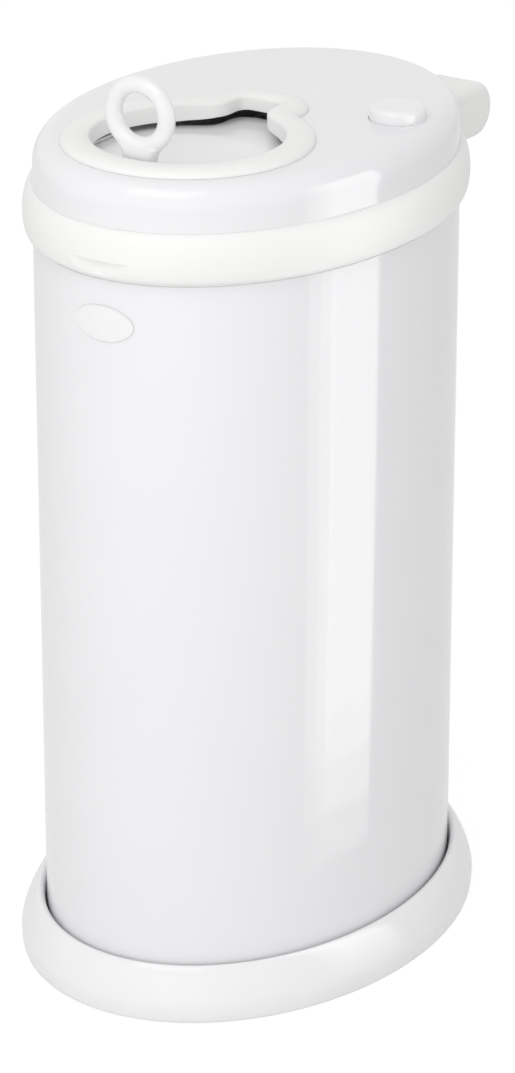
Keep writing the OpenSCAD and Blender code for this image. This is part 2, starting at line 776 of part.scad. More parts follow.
module lock_guide() {
    color(plastic) translate([button_x, button_y, 0]) difference() {
        translate([0, 0, cover_top + seat]) cylinder(r = guide_r, h = guide_top - cover_top - seat);
        translate([0, 0, guide_top - stem_in - button_travel - 1])
            cylinder(r = stem_r + run, h = stem_in + button_travel + 1 + cut);
    }
}

foot_rubber_ring();
foot_moulding();
foot_screws_set();  // foot_screws
body_shell();
body_floor_pan();
blank_badge();
top_rim();
bag_ring();
hinge_bracket();
bracket_screws();
hinge_pin();
hinge_pin_plugs();
lid_band();
lid_hinge_housing();
housing_screws();
lid_cap();
opening_collar();
lid_inner_cover();
chute_sleeve();
lid_gasket();
lid_screws_set();  // lid_screws
chute_seal();
door_rail_left();
door_rail_right();
rail_screws();
door_panel();
door_runner_left();
door_runner_right();
ring_handle();
handle_screws();
lock_catch();
lock_button();
lock_arm();
lock_spring();
lock_guide();
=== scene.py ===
# %% [markdown]
# # A steel nappy bin
# The real object is a tall oval tube of painted steel on a moulded foot. A plastic band and a
# steel cap make its hinged lid, and a keyhole-shaped collar goes round the opening. A door slides
# under the collar and is pulled by a standing ring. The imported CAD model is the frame: it holds
# every size and every joint. This script gives it its smooth skins and its finishes.

import json
import math

import bmesh
import bpy
from mathutils import Matrix, Vector


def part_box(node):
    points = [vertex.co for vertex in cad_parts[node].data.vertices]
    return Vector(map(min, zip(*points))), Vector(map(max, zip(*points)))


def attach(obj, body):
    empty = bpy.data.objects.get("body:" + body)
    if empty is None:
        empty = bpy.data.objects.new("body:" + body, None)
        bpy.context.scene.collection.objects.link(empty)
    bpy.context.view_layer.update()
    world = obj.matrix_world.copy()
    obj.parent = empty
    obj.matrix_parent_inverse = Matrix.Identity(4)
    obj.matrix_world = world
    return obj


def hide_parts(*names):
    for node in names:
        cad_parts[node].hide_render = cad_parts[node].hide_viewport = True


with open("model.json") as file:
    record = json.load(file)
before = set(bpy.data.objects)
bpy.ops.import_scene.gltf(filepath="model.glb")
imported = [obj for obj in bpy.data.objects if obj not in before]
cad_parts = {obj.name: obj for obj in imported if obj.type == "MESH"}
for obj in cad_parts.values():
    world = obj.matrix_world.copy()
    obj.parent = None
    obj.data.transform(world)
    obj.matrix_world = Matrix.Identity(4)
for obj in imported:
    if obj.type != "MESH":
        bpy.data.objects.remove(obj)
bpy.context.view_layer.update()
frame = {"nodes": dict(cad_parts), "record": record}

# %% [markdown]
# ## The driving sizes
# Every height and reach is measured on the frame's own nodes, so a skin can't drift away from the
# solid that it stands for. Work is done in millimetres, because steel sheet and plastic walls are
# then plain numbers, and a piece is scaled to metres when it is finished.

# %% Sizes from the frame
MM = 0.001


def low(node):
    """The lowest corner of a CAD node, in millimetres."""
    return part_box(node)[0] / MM


def high(node):
    """The highest corner of a CAD node, in millimetres."""
    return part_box(node)[1] / MM


HALF_W = high("body_shell").x
HALF_L = -low("body_shell").y
BODY_Z, BODY_TOP = low("body_shell").z, high("body_shell").z
FOOT_TOP = high("foot_moulding").z
RIM_TOP = high("top_rim").z
BAND_Z, BAND_TOP = low("lid_band").z, high("lid_band").z
CAP_TOP = high("lid_cap").z
NECK_Z, COLLAR_TOP = low("opening_collar").z, high("opening_collar").z
DOOR_Z = low("door_panel").z
DOOR_TOP = low("ring_handle").z - 0.1
print("body", round(2 * HALF_W, 1), "x", round(2 * HALF_L, 1), "mm, lid top at", round(CAP_TOP, 1))

# %% [markdown]
# ## Shader maths as Python
# A finish is built from a few nodes. `Wire` wraps one output socket and overloads the operators,
# so that `0.2 + 0.05 * noise` adds its own Math nodes. `Nodes.node` is the one way to add any other
# node: its settings come first, and then the values or wires of its inputs.


# %% Wires and nodes
class Wire:
    """One output socket, which Python can add and multiply."""

    def __init__(self, nodes, socket):
        self.nodes = nodes
        self.socket = socket

    def maths(self, operation, first, second):
        return self.nodes.node("ShaderNodeMath", {"operation": operation}, {0: first, 1: second})

    def __add__(self, other):
        return self.maths("ADD", self, other)

    def __mul__(self, other):
        return self.maths("MULTIPLY", self, other)

    __radd__ = __add__
    __rmul__ = __mul__


class Nodes:
    """The nodes of a material or of the sky."""

    def __init__(self, owner):
        owner.use_nodes = True
        self.tree = owner.node_tree

    def node(self, kind, settings=None, inputs=None, output=0):
        node = self.tree.nodes.new(kind)
        for key, value in (settings or {}).items():
            if key == "stops":
                for stop, (place, shade) in zip(node.color_ramp.elements, value):
                    stop.position = place
                    stop.color = (shade, shade, shade, 1)
            else:
                setattr(node, key, value)
        for key, value in (inputs or {}).items():
            self.plug(node.inputs[key], value)
        return Wire(self, node.outputs[output])

    def plug(self, socket, value):
        if isinstance(value, Wire):
            self.tree.links.new(value.socket, socket)
        else:
            socket.default_value = value


# %% [markdown]
# A finish is a material with one Principled shader. Fixed values go straight on the shader's own
# sockets. All patterns read object coordinates in metres, so a grain has its real size on every
# piece.


# %% A finish
class Finish(Nodes):
    """A material with one Principled shader."""

    def __init__(self, name, **fixed):
        self.material = bpy.data.materials.new(name)
        super().__init__(self.material)
        self.shader = self.tree.nodes["Principled BSDF"]
        for socket, value in fixed.items():
            self.shader.inputs[socket.replace("_", " ")].default_value = value

    def feed(self, **wires):
        for socket, wire in wires.items():
            self.plug(self.shader.inputs[socket.replace("_", " ")], wire)
        return self

    def place(self):
        return self.node("ShaderNodeTexCoord", output="Object")

    def noise(self, size, detail=2.0):
        """Noise whose blobs are about size metres across."""
        return self.node("ShaderNodeTexNoise", {}, {"Vector": self.place(), "Scale": 1 / size,
                                                    "Detail": detail})

    def patches(self, size, start, end):
        """Soft-edged patches: noise that is cut off below start and full above end."""
        return self.node("ShaderNodeValToRGB", {"stops": [(start, 0.0), (end, 1.0)]},
                         {"Fac": self.noise(size, 3.0)})

    def shades(self, mask, dark, light):
        """A colour that goes from dark to light with a mask."""
        return self.node("ShaderNodeMix", {"data_type": "RGBA"},
                         {"Factor": mask, 6: (*dark, 1), 7: (*light, 1)}, 2)

    def bump(self, height, depth):
        """A bump depth metres deep."""
        return self.node("ShaderNodeBump", {}, {"Height": height, "Distance": depth})


# %% [markdown]
# ## Painted steel
# The body and the cap are deep-drawn sheet with a gloss white powder coat. Powder coat is never
# dead flat: it levels into a faint orange peel with waves about a millimetre and a half across.
# The coat is cool white, and it holds a very slight cloudiness over a hand's breadth.


# %% Painted steel
def painted_steel():
    steel = Finish("Painted steel")
    cloud = steel.noise(0.09, 1.0)
    wiped = steel.patches(0.05, 0.45, 0.7)
    return steel.feed(
        Base_Color=steel.shades(cloud, (0.805, 0.805, 0.82), (0.825, 0.825, 0.84)),
        Roughness=0.085 + 0.02 * cloud + 0.025 * wiped,
        Normal=steel.bump(steel.noise(0.0016, 1.0), 0.000006),
    ).material


# %% [markdown]
# ## Moulded plastics
# The band, collar, ring and hinge are moulded in a warm white with a fine spark-eroded texture, so
# they look satin beside the steel. The foot, the door and the button come from polished moulds.
# The hidden runners and the lock's arm are acetal, which is a little milky and has flow marks.


# %% Plastics
def satin_plastic():
    plastic = Finish("Satin white plastic")
    grain = plastic.noise(0.0004, 3.0)
    cloud = plastic.noise(0.06, 1.0)
    return plastic.feed(
        Base_Color=plastic.shades(cloud, (0.848, 0.847, 0.837), (0.868, 0.867, 0.858)),
        Roughness=0.5 + 0.1 * grain,
        Normal=plastic.bump(grain, 0.00001),
    ).material


def gloss_plastic():
    plastic = Finish("Gloss white plastic")
    sink = plastic.noise(0.03, 1.0)
    return plastic.feed(
        Base_Color=plastic.shades(sink, (0.82, 0.822, 0.83), (0.84, 0.842, 0.85)),
        Roughness=0.1 + 0.06 * plastic.noise(0.012, 3.0),
        Normal=plastic.bump(sink, 0.00005),
    ).material


def acetal():
    plastic = Finish("Natural acetal")
    flow = plastic.node("ShaderNodeTexWave", {"bands_direction": "Y"},
                        {"Vector": plastic.place(), "Scale": 60.0, "Distortion": 6.0, "Detail": 2.0})
    return plastic.feed(
        Base_Color=plastic.shades(flow, (0.72, 0.72, 0.69), (0.78, 0.78, 0.75)),
        Roughness=0.4 + 0.1 * flow,
    ).material


# %% [markdown]
# ## Rubber, zinc and the badge
# The seals are grey rubber with a dull bloom. Screws, pin and spring are zinc plated, which shows
# small spangles. The badge is a blank enamel oval, glossier than the steel that it sits on.


# %% Rubber, zinc and badge
def rubber():
    seal = Finish("Grey rubber")
    bloom = seal.noise(0.004, 4.0)
    return seal.feed(
        Base_Color=seal.shades(bloom, (0.24, 0.24, 0.245), (0.32, 0.32, 0.325)),
        Roughness=0.62 + 0.2 * bloom,
        Normal=seal.bump(seal.noise(0.0005), 0.00002),
    ).material


def zinc():
    plate = Finish("Zinc plate", Metallic=1.0)
    spangle = plate.node("ShaderNodeTexVoronoi", {}, {"Vector": plate.place(), "Scale": 700.0})
    return plate.feed(
        Base_Color=plate.shades(spangle, (0.52, 0.53, 0.55), (0.72, 0.73, 0.75)),
        Roughness=0.26 + 0.16 * spangle,
    ).material


def badge_enamel():
    enamel = Finish("Badge enamel", Coat_Weight=0.6, Coat_Roughness=0.05)
    return enamel.feed(
        Base_Color=enamel.shades(enamel.noise(0.01), (0.82, 0.82, 0.83), (0.86, 0.86, 0.87)),
        Roughness=0.2 + 0.05 * enamel.noise(0.003),
    ).material


FINISHES = {
    "painted_steel": painted_steel(),
    "gloss_plastic": gloss_plastic(),
    "matt_plastic": satin_plastic(),
    "slippery_plastic": acetal(),
    "grey_rubber": rubber(),
    "zinc": zinc(),
    "badge": badge_enamel(),
}
print("finishes:", ", ".join(FINISHES))

# %% [markdown]
# ## Finishing a piece
# A bmesh in millimetres becomes an object in metres that rides on its CAD body. Round skins are
# shaded smooth, and only real corners stay sharp.


# %% Finish a piece
def shown(bm, name, body, slot, nodes, sharp=38):
    """Makes an object of a bmesh in millimetres, with its finish and its body, and hides the CAD nodes
    that it stands for.
    """
    bmesh.ops.recalc_face_normals(bm, faces=bm.faces)
    mesh = bpy.data.meshes.new(name)
    bm.to_mesh(mesh)
    bm.free()
    mesh.transform(Matrix.Scale(MM, 4))
    mesh.shade_smooth()
    mesh.set_sharp_from_angle(angle=math.radians(sharp))
    mesh.materials.append(FINISHES[slot])
    piece = bpy.data.objects.new(name, mesh)
    bpy.context.scene.collection.objects.link(piece)
    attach(piece, body)
    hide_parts(*nodes)
    print(name, "has", len(mesh.polygons), "faces")
    return piece


def settled(piece, sharp=38):
    """Applies a piece's modifiers, and marks the sharp edges of the mesh that they make."""
    graph = bpy.context.evaluated_depsgraph_get()
    mesh = bpy.data.meshes.new_from_object(piece.evaluated_get(graph))
    piece.modifiers.clear()
    piece.data = mesh
    mesh.shade_smooth()
    mesh.set_sharp_from_angle(angle=math.radians(sharp))
    return piece


# %% [markdown]
# ## Outlines and profiles
# Nearly every wall of this bin is a profile carried round the oval. A spin can't do that, because
# an oval's wall keeps the same thickness all round and a scaled circle's doesn't. So a circle is
# made, its corners are moved onto the outline, and its edge is extruded once for every point of
# the profile. A float layer remembers how far round each corner is.


# %% Carry a profile round an outline
def oval(turn, out):
    """A point of the body's outline, moved out along its normal."""
    normal = Vector((math.cos(turn) / HALF_W, math.sin(turn) / HALF_L)).normalized()
    return Vector((HALF_W * math.cos(turn), HALF_L * math.sin(turn))) + out * normal


def grown(bm, edges):
    """Extrudes a ring of edges, and gives its new corners and its new edges."""
    parts = bmesh.ops.extrude_edge_only(bm, edges=edges)["geom"]
    ring = [part for part in parts if isinstance(part, bmesh.types.BMVert)]
    new = set(ring)
    return ring, [part for part in parts
                  if isinstance(part, bmesh.types.BMEdge) and set(part.verts) <= new]


def carried(outline, profile, sectors=288, closed=True):
    """A bmesh of a profile of (distance out, height), carried round an outline."""
    bm = bmesh.new()
    turn = bm.verts.layers.float.new("turn")
    ring = bmesh.ops.create_circle(bm, segments=sectors, radius=1.0)["verts"]
    for vert in ring:
        vert[turn] = math.atan2(vert.co.y, vert.co.x)
    first = edges = list(bm.edges)
    for step, (out, height) in enumerate(profile):
        if step:
            ring, edges = grown(bm, edges)
        for vert in ring:
            vert.co = (*outline(vert[turn], out), height)
    if closed:
        bmesh.ops.bridge_loops(bm, edges=first + edges)
    return bm, edges


# %% [markdown]
# Moulded corners are never sharp. `rounded` cuts each corner of a profile back by its own length
# and bends the cut, and `quarter` is a quarter of a superellipse, which is the shape of the lid's
# shoulder and of the foot's flank.


# %% Rounded profiles
def rounded(corners, steps=4):
    """Bends each corner of a closed profile of (out, height, cut back)."""
    points = []
    for here, (out, height, cut_back) in enumerate(corners):
        corner = Vector((out, height))
        before = Vector(corners[here - 1][:2])
        after = Vector(corners[(here + 1) % len(corners)][:2])
        start = corner + (before - corner).normalized() * cut_back
        end = corner + (after - corner).normalized() * cut_back
        for step in range(steps + 1):
            share = step / steps
            points.append(tuple(start.lerp(corner, share).lerp(corner.lerp(end, share), share)))
    return points


def quarter(start, end, power=2.0, steps=12):
    """A quarter of a superellipse that leaves start upright and meets end level."""
    points = []
    for step in range(steps + 1):
        angle = math.pi / 2 * step / steps
        points.append((end[0] + (start[0] - end[0]) * max(math.cos(angle), 0) ** (2 / power),
                       start[1] + (end[1] - start[1]) * math.sin(angle) ** (2 / power)))
    return points


# %% [markdown]
# ## The foot
# The foot is one glossy moulding. Its flank swells to its widest near the floor and leans in to a
# rounded crest, with a thin dark gap between the crest and the steel. Under it the moulding is
# hollow, as mouldings are, and a rubber ring keeps it from sliding.


# %% Foot
FOOT_SPREAD = high("foot_moulding").x - HALF_W
BELLY_Z = 11
SHELF = (low("foot_screws").z + 2.2, BODY_Z - 0.2)


def foot():
    flank = quarter((FOOT_SPREAD, BELLY_Z), (5, FOOT_TOP), 1.35, 24)
    crest = [(4.3, FOOT_TOP), (3.3, FOOT_TOP - 0.3), (2.4, FOOT_TOP - 1), (1.7, FOOT_TOP - 2.2),
             (1.3, FOOT_TOP - 4)]
    inside = [(0.4, FOOT_TOP - 8), (0.4, SHELF[1]), (-16, SHELF[1]), (-16, SHELF[0]), (4, SHELF[0]),
              (4, 27), (6, 28), (9.5, 23), (13.4, 10), (13, 0.8)]
    edge = [(FOOT_SPREAD - 1.4, 0.8), (FOOT_SPREAD - 0.8, 1.6), (FOOT_SPREAD - 0.4, 3.2),
            (FOOT_SPREAD - 0.1, 6.5)]
    bm, _ = carried(oval, edge + flank + crest + inside)
    return shown(bm, "foot_skin", "pail", "gloss_plastic", ["foot_moulding"])


def foot_ring():
    top = high("foot_rubber_ring").z
    bm, _ = carried(oval, rounded([(3.5, 0, 0.6), (3.5, top, 0.4), (-7, top, 0.4), (-7, 0, 0.6)]))
    return shown(bm, "foot_rubber", "pail", "grey_rubber", ["foot_rubber_ring"])


foot()
foot_ring()

# %% [markdown]
# ## The steel body
# A sheet one millimetre thick is rolled to an oval tube. Its upper edge is covered by the rim, so
# the tube is the simplest piece of all: an upright profile with slightly broken edges.


# %% Body, rim and bag ring
SHEET = 1.0


def body():
    bm, _ = carried(oval, rounded([(0, BODY_Z, 0.2), (0, BODY_TOP, 0.3), (-SHEET, BODY_TOP, 0.3),
                                   (-SHEET, BODY_Z, 0.2)]))
    return shown(bm, "body_skin", "pail", "painted_steel", ["body_shell"])


def rim():
    land_in, ledge_in, ledge = -6, -12, BODY_TOP - 2
    bm, _ = carried(oval, rounded([
        (-0.1, BODY_TOP + 0.2, 0.1), (-0.1, RIM_TOP, 0.5), (land_in, RIM_TOP, 0.4),
        (land_in, ledge, 0.3), (ledge_in, ledge, 0.5), (ledge_in, ledge - 3, 0.3),
        (-3.2, ledge - 3, 0.6), (-3.2, low("top_rim").z, 0.3), (-1.2, low("top_rim").z, 0.3),
        (-1.2, BODY_TOP + 0.2, 0.1)]))
    return shown(bm, "rim_skin", "pail", "matt_plastic", ["top_rim"])


def bag_ring():
    top, bottom = high("bag_ring").z, low("bag_ring").z
    bm, _ = carried(oval, rounded([
        (-6.4, top - 2.2, 0.3), (-6.4, top, 0.6), (-14.5, top, 1.2), (-14.5, bottom, 0.6),
        (-12.4, bottom, 0.6), (-12.4, top - 2.2, 0.4)]))
    return shown(bm, "bag_ring_skin", "pail", "matt_plastic", ["bag_ring"])


body()
rim()
bag_ring()

# %% [markdown]
# ## The lid band
# The band is a hoop with a full, round bulge, and at the front a finger finds a shallow scoop under
# a crisp edge. The scoop is a wedge with a bowed back, lofted through a row of sections and cut out
# of the hoop: it runs out to nothing at both ends, so it leaves a crescent. A Boolean modifier cuts
# it, and is then applied.

# %% Lid band
BULGE = high("lid_band").x - HALF_W
BULGE_Z = BAND_Z + 0.41 * (BAND_TOP - BAND_Z)
BAND_LOW = BULGE - 3.5
CAP_OUT = high("lid_cap").x - HALF_W
SCOOP_UP, SCOOP_DEEP, SCOOP_BOW, SCOOP_HALF = 11.5, 4.4, 230.0, 24
SCOOP_LOW, SCOOP_FOOT = 2, 1.7
BAND_CURVE = (quarter((BULGE, BULGE_Z), (BAND_LOW, BAND_Z), 2, 14)[:0:-1]
              + quarter((BULGE, BULGE_Z), (CAP_OUT, BAND_TOP), 2, 18))


def hidden(bm, name):
    """An object of a bmesh in millimetres that is only used to cut another one."""
    bmesh.ops.recalc_face_normals(bm, faces=bm.faces)
    mesh = bpy.data.meshes.new(name)
    bm.to_mesh(mesh)
    bm.free()
    mesh.transform(Matrix.Scale(MM, 4))
    cutter = bpy.data.objects.new(name, mesh)
    bpy.context.scene.collection.objects.link(cutter)
    return cutter


def cut_away(piece, *cutters):
    """Cuts each cutter out of a piece, and then deletes it."""
    for cutter in cutters:
        cut = piece.modifiers.new(cutter.name, "BOOLEAN")
        cut.operation, cut.solver, cut.object = "DIFFERENCE", "EXACT", cutter
    settled(piece)
    for cutter in cutters:
        bpy.data.objects.remove(cutter)
    return piece


def lofted(bm, outlines):
    """A closed skin through a row of outlines that have the same number of points."""
    face = bm.faces.new([bm.verts.new(point) for point in outlines[0]])
    for count, outline in enumerate(outlines[1:]):
        old, parts = face, bmesh.ops.extrude_face_region(bm, geom=[face])["geom"]
        face = next(part for part in parts if isinstance(part, bmesh.types.BMFace))
        if count:
            bmesh.ops.delete(bm, geom=[old], context="FACES_ONLY")
        for vert, point in zip(face.verts, outline):
            vert.co = point
    return bm


def scoop_cutter():
    """A wedge under a level edge. Its back is bowed, so it runs out at both ends."""
    front, edge, low_edge = -HALF_L - BULGE, BAND_Z + SCOOP_UP, BAND_Z + SCOOP_LOW
    sections = []
    for step in range(25):
        across = SCOOP_HALF * (step / 12 - 1)
        back = front + SCOOP_DEEP - across ** 2 / SCOOP_BOW
        sections.append([(across, front - 2, edge), (across, back, edge),
                         (across, front + SCOOP_FOOT, low_edge), (across, front - 2, low_edge)])
    return hidden(lofted(bmesh.new(), sections), "scoop")


def lid_band():
    inside = [(-15, BAND_TOP), (-15, BAND_TOP - 2.5), (-1, BAND_TOP - 2.5), (1.5, BULGE_Z + 9),
              (1.5, BAND_Z + 6), (0.4, BAND_Z + 2), (0.2, BAND_Z)]
    bm, _ = carried(oval, [(BAND_LOW - 0.6, BAND_Z)] + BAND_CURVE + inside)
    return cut_away(shown(bm, "lid_band_skin", "lid", "matt_plastic", ["lid_band"]), scoop_cutter())


lid_band()

# %% [markdown]
# ## The keyhole
# The opening is a big circle with a soft-cornered notch behind it, where the ring's neck goes when
# the door is open. Where the two meet, the moulding doesn't come to a point: near the opening the
# corner is well rounded. The distance to each shape is a short formula, a smooth minimum joins the
# two, and for each direction the outline is found by halving the step.

# %% Keyhole outline
OPEN_R = high("door_panel").x - 1
OPEN_Y = low("door_panel").y + OPEN_R + 6
COLLAR_W = high("opening_collar").x - OPEN_R
NOTCH_HALF, NOTCH_CORNER = 15.0, 7.0
NOTCH_END = high("opening_collar").y - COLLAR_W
HUB = Vector((0.0, OPEN_Y + 39.0))
BLEND_AT_HOLE, BLEND_AT_EDGE = 14, 4


def keyhole_distance(point, out):
    """How far a point is outside the opening, with the inner corners blended."""
    big = (point - Vector((0, OPEN_Y))).length - OPEN_R
    across = abs(point.x) - NOTCH_HALF + NOTCH_CORNER
    along = abs(point.y - (NOTCH_END + OPEN_Y) / 2) - (NOTCH_END - OPEN_Y) / 2 + NOTCH_CORNER
    notch = (math.hypot(max(across, 0), max(along, 0)) + min(max(across, along), 0)) - NOTCH_CORNER
    blend = BLEND_AT_HOLE + (BLEND_AT_EDGE - BLEND_AT_HOLE) * min(max(out / COLLAR_W, 0), 1)
    overlap = max(blend - abs(big - notch), 0) / blend
    return min(big, notch) - overlap * overlap * blend / 4


def keyhole(turn, out):
    """The point in one direction that lies a distance out from the opening's edge."""
    way = Vector((math.cos(turn), math.sin(turn)))
    near, far = 5.0, 160.0
    for _ in range(30):
        middle = (near + far) / 2
        if keyhole_distance(HUB + way * middle, out) < out:
            near = middle
        else:
            far = middle
    return HUB + way * near


print("opening", 2 * OPEN_R, "mm across, notch ends at", round(NOTCH_END, 1))

# %% [markdown]
# ## The steel cap
# The cap is drawn from one sheet: a short upright wall, an elliptical shoulder and a flat top with
# two holes. The wall and shoulder are carried round the oval, the flat is filled between its three
# edges, and a Solidify modifier gives the sheet its thickness. Two extra rings just inside the
# shoulder keep its shading out of the flat.

# %% Lid cap
SHOULDER_IN, SHOULDER_DOWN = 13.9, 17.2
BUTTON_X = (high("lock_guide").x + low("lock_guide").x) / 2
BUTTON_Y = (high("lock_guide").y + low("lock_guide").y) / 2
BUTTON_R = (high("lock_button").y - low("lock_button").y) / 2 - 1.6


def edge_loop(bm, points, height):
    """A closed loop of edges through a list of points."""
    verts = [bm.verts.new((x, y, height)) for x, y in points]
    return [bm.edges.new((verts[here - 1], verts[here])) for here in range(len(verts))]


def lid_cap():
    shoulder = quarter((CAP_OUT, CAP_TOP - SHOULDER_DOWN), (CAP_OUT - SHOULDER_IN, CAP_TOP), 2, 24)
    wall = [(CAP_OUT, BAND_TOP + 0.05), (CAP_OUT, CAP_TOP - SHOULDER_DOWN - 3)]
    flat = [(CAP_OUT - SHOULDER_IN - 0.8, CAP_TOP), (CAP_OUT - SHOULDER_IN - 2.5, CAP_TOP)]
    bm, inner = carried(oval, wall + shoulder + flat, closed=False)
    turns = [2 * math.pi * step / 240 for step in range(240)]
    hole = edge_loop(bm, [keyhole(turn, 3.5) for turn in turns], CAP_TOP)
    button = edge_loop(bm, [(BUTTON_X + (BUTTON_R + 0.4) * math.cos(turn),
                             BUTTON_Y + (BUTTON_R + 0.4) * math.sin(turn)) for turn in turns], CAP_TOP)
    bmesh.ops.triangle_fill(bm, use_beauty=True, edges=inner + hole + button)
    piece = shown(bm, "lid_cap_skin", "lid", "painted_steel", ["lid_cap"])
    sheet = piece.modifiers.new("sheet", "SOLIDIFY")
    sheet.thickness, sheet.offset = SHEET * MM, -1
    return settled(piece)


lid_cap()

# %% [markdown]
# ## The collar
# The collar is a soft cushion of plastic round the keyhole. Its crest lies nearer to the opening
# than to its outer edge, and its inner side turns down into a neck that holds it in the steel. Round
# the big circle the neck reaches a little further down than round the notch, so that the dark gap
# over the door is thinner there.


# %% Collar
SKIRT = 2.2


def collar():
    crest_out = 0.42 * COLLAR_W
    rise = COLLAR_TOP - CAP_TOP
    outer = quarter((COLLAR_W, CAP_TOP + 0.15), (crest_out, COLLAR_TOP), 2, 14)
    inner = [(crest_out * (1 - step / 8), COLLAR_TOP - 0.35 * rise * (step / 8) ** 2.2)
             for step in range(1, 8)]
    lip = [(0.5, COLLAR_TOP - 0.36 * rise), (0.12, COLLAR_TOP - 0.45 * rise),
           (0, COLLAR_TOP - 0.6 * rise)]
    neck = [(0, NECK_Z + 0.5), (0.5, NECK_Z), (2.5, NECK_Z), (3, NECK_Z + 0.5), (3, CAP_TOP + 0.05),
            (COLLAR_W - 0.4, CAP_TOP + 0.05)]
    bm, _ = carried(keyhole, outer + inner + lip + neck, sectors=360)
    for vert in bm.verts:
        if vert.co.z < NECK_Z + 1:
            vert.co.z -= SKIRT * min(max((-8 - vert.co.y) / 14, 0), 1)
    return shown(bm, "collar_skin", "lid", "matt_plastic", ["opening_collar"])


collar()

# %% [markdown]
# ## The sliding door
# The door is a glossy plate as wide as the opening, with a shallow round dish. Its outline is the
# keyhole's, grown a little and cut straight at the sides, where the runners are. The dish is a set
# of rings that are extruded inwards and let down.

# %% Door
DISH_R, DISH_DEEP = OPEN_R - 14, 3.5
PANEL_HALF = OPEN_R + 1
RUNNER_FRONT, RUNNER_BACK = low("door_runner_left").y - 1, high("door_runner_left").y + 1


def door_edge(turn):
    """The door's outline in one direction.

    It is the keyhole grown by 6 mm and the runners' straight stretch, cut at the sides.
    """
    way = Vector((math.cos(turn), math.sin(turn)))
    side = PANEL_HALF / max(abs(way.x), 1e-6)
    stretch = (RUNNER_BACK if way.y > 0 else RUNNER_FRONT) - HUB.y
    straight = min(side, stretch / way.y if abs(way.y) > 1e-6 else side)
    return HUB + way * max(min((keyhole(turn, 6) - HUB).length, side), straight)


def door():
    bm = bmesh.new()
    turns = [2 * math.pi * step / 300 for step in range(300)]
    outline = [door_edge(turn) for turn in turns]
    rim_edges = edge_loop(bm, outline, DOOR_TOP)
    ring = edge_loop(bm, [((DISH_R + 3) * math.cos(turn), OPEN_Y + (DISH_R + 3) * math.sin(turn))
                          for turn in turns[::2]], DOOR_TOP)
    bmesh.ops.triangle_fill(bm, use_beauty=True, edges=rim_edges + ring)
    for step in range(1, 17):
        share = step / 16
        verts, ring = grown(bm, ring)
        radius = (DISH_R + 3) * (1 - share) + 0.5 * share
        for vert in verts:
            arm = Vector((vert.co.x, vert.co.y - OPEN_Y)).normalized() * radius
            inside = min(radius / DISH_R, 1)
            vert.co = (arm.x, OPEN_Y + arm.y, DOOR_TOP - DISH_DEEP * (1 - inside ** 2) ** 1.2)
    bmesh.ops.edgeloop_fill(bm, edges=ring)
    verts, bottom = grown(bm, rim_edges)
    for vert in verts:
        vert.co.z = DOOR_Z
    bmesh.ops.edgeloop_fill(bm, edges=bottom)
    return shown(bm, "door_skin", "door", "gloss_plastic", ["door_panel"])


door()

# %% [markdown]
# ## The ring handle
# A finger hooks into a thick standing ring that grows out of a short neck. The ring is a circle
# spun round its middle, and the neck is a loft of stretched circles that flares up to it. A voxel
# remesh joins the two into one skin, and a smoothing pass softens the joint as a mould would.

# %% Ring handle
RING_LOW, RING_HIGH = low("ring_handle"), high("ring_handle")
BAR_R, BAR_DEEP = 5.5, 5.3
RING_R = (RING_HIGH.x - RING_LOW.x) / 2 - BAR_R
RING_Y = (RING_LOW.y + RING_HIGH.y) / 2
RING_Z = RING_HIGH.z - BAR_R - RING_R
NECK_W, NECK_D, NECK_FILLET = 23.0, 10.6, 12.0


def ring_bar(bm):
    bar = bmesh.ops.create_circle(bm, segments=40, radius=1.0)["verts"]
    for vert in bar:
        vert.co = (RING_R + BAR_R * vert.co.x, BAR_DEEP * vert.co.y, 0)
    bmesh.ops.spin(bm, geom=list(bm.verts) + list(bm.edges), cent=(0, 0, 0), axis=(0, 1, 0),
                   angle=2 * math.pi, steps=96, use_merge=True)
    bmesh.ops.translate(bm, verts=bm.verts, vec=(0, RING_Y, RING_Z))


def ring_neck(bm):
    """The neck, whose flare is a fillet that touches the ring's outline from outside."""
    half, outer, soft = NECK_W / 2, RING_R + BAR_R, NECK_D / 2
    fall = math.sqrt((outer + NECK_FILLET) ** 2 - (half + NECK_FILLET) ** 2)
    bottom, top = RING_LOW.z, RING_Z - fall * outer / (outer + NECK_FILLET)
    turns = [2 * math.pi * (count + 0.5) / 64 for count in range(64)]
    outlines = []
    for step in range(25):
        height = bottom + (top - bottom) * step / 24
        rise = max(height - RING_Z + fall, 0)
        spread = half + NECK_FILLET - math.sqrt(NECK_FILLET ** 2 - rise ** 2) - soft
        outlines.append([(soft * math.cos(turn) + math.copysign(spread, math.cos(turn)),
                          RING_Y + soft * math.sin(turn), height) for turn in turns])
    lofted(bm, outlines)


def ring_handle():
    bm = bmesh.new()
    ring_bar(bm)
    ring_neck(bm)
    piece = shown(bm, "ring_skin", "door", "gloss_plastic", ["ring_handle"])
    melt = piece.modifiers.new("melt", "REMESH")
    melt.mode, melt.voxel_size = "VOXEL", 0.55 * MM
    soft = piece.modifiers.new("soft", "SMOOTH")
    soft.factor, soft.iterations = 0.5, 16
    return settled(piece, 180)


ring_handle()

# %% [markdown]
# ## The lock button
# The button is a shallow round cup on a stem. Its whole profile, outside and inside, is drawn from
# the axis to the axis and spun once round, with a soft edge and the slightest dome on top.


# %% Button
def spun(profile, steps=120):
    """A bmesh of a profile of (radius, height) spun round the Z axis."""
    bm = bmesh.new()
    verts = [bm.verts.new((radius, 0, height)) for radius, height in profile]
    for first, second in zip(verts, verts[1:]):
        bm.edges.new((first, second))
    bmesh.ops.spin(bm, geom=list(bm.verts) + list(bm.edges), cent=(0, 0, 0), axis=(0, 0, 1),
                   angle=2 * math.pi, steps=steps, use_merge=True)
    bmesh.ops.remove_doubles(bm, verts=bm.verts, dist=0.001)
    return bm


